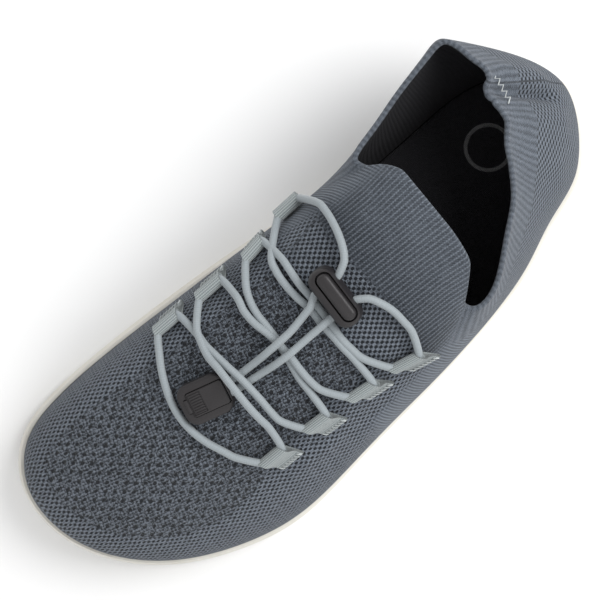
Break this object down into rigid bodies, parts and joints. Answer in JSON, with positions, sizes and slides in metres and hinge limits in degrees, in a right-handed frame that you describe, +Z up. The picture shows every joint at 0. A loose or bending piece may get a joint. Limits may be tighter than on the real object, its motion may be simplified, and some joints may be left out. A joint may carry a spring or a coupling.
{
  "type": "knit barefoot shoe",
  "caption": "Low grey knit barefoot shoe for a left foot: wide toe box, collar and raised tongue in one knit, flat off-white sole, elastic lace through webbing tabs, cord lock and end clip.",
  "frame": {"origin": "on the sole's ground face, under the middle of the shoe's length", "axes": "+X towards the toe, +Y towards the outer side of this left shoe, +Z up from the ground"},
  "size_m": [0.256, 0.1074, 0.088],
  "materials": {
    "sole_rubber": "matte",
    "insole_foam": "matte",
    "grey_knit": "matte",
    "grey_webbing": "matte",
    "grey_elastic": "matte",
    "black_plastic": "satin"
  },
  "bodies": {
    "root": {"outsole": "sole_rubber", "insole": "insole_foam", "upper": "grey_knit", "tab_lateral_1": "grey_webbing", "tab_lateral_2": "grey_webbing", "tab_lateral_3": "grey_webbing", "tab_lateral_4": "grey_webbing", "tab_medial_1": "grey_webbing", "tab_medial_2": "grey_webbing", "tab_medial_3": "grey_webbing", "tab_medial_4": "grey_webbing", "lace_cross_rear": "grey_elastic", "lace_cross_middle": "grey_elastic", "lace_cross_front": "grey_elastic", "lace_toe_bar": "grey_elastic", "lace_loop_medial": "grey_elastic", "lace_loop_lateral": "grey_elastic", "lace_end_a": "grey_elastic", "lace_end_b": "grey_elastic", "lock_shell": "black_plastic", "lock_plunger": "black_plastic", "clip_case": "black_plastic", "clip_lid": "black_plastic"}
  },
  "joints": []
}
